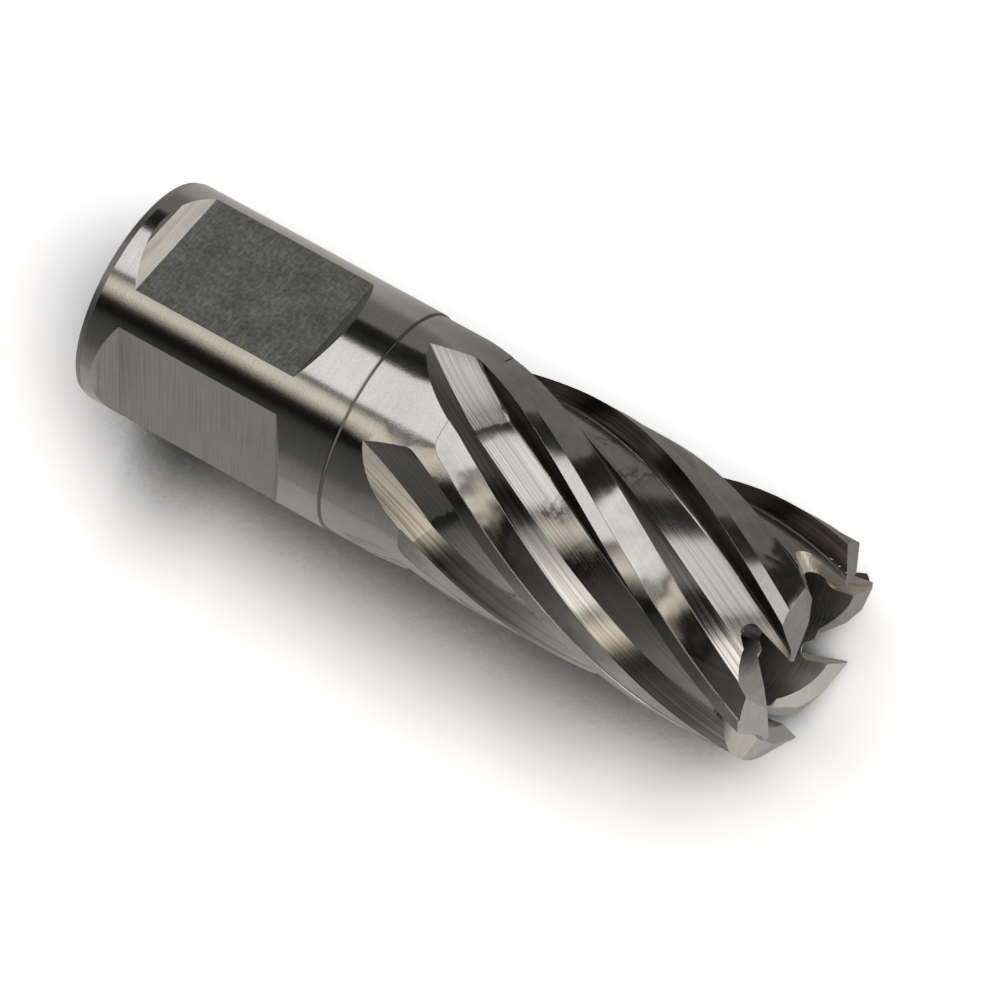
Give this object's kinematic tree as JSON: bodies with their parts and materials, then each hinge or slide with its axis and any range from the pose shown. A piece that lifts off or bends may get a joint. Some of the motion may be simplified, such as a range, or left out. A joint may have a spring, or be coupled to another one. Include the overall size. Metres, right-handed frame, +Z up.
{
  "type": "annular cutter",
  "caption": "Hollow milling cutter with helical flutes, roof-shaped end teeth, a slug bore and a plain shank with two drive flats.",
  "frame": {"origin": "on the tool's axis at the rear face of the shank", "axes": "+X along the axis from the shank to the teeth, +Z up, half-way between the two drive flats, as it lies at rest"},
  "size_m": [0.0624, 0.019, 0.019],
  "materials": {
    "tool_steel": "ground and polished high-speed steel"
  },
  "bodies": {
    "root": {"annular_cutter": "tool_steel"}
  },
  "joints": []
}
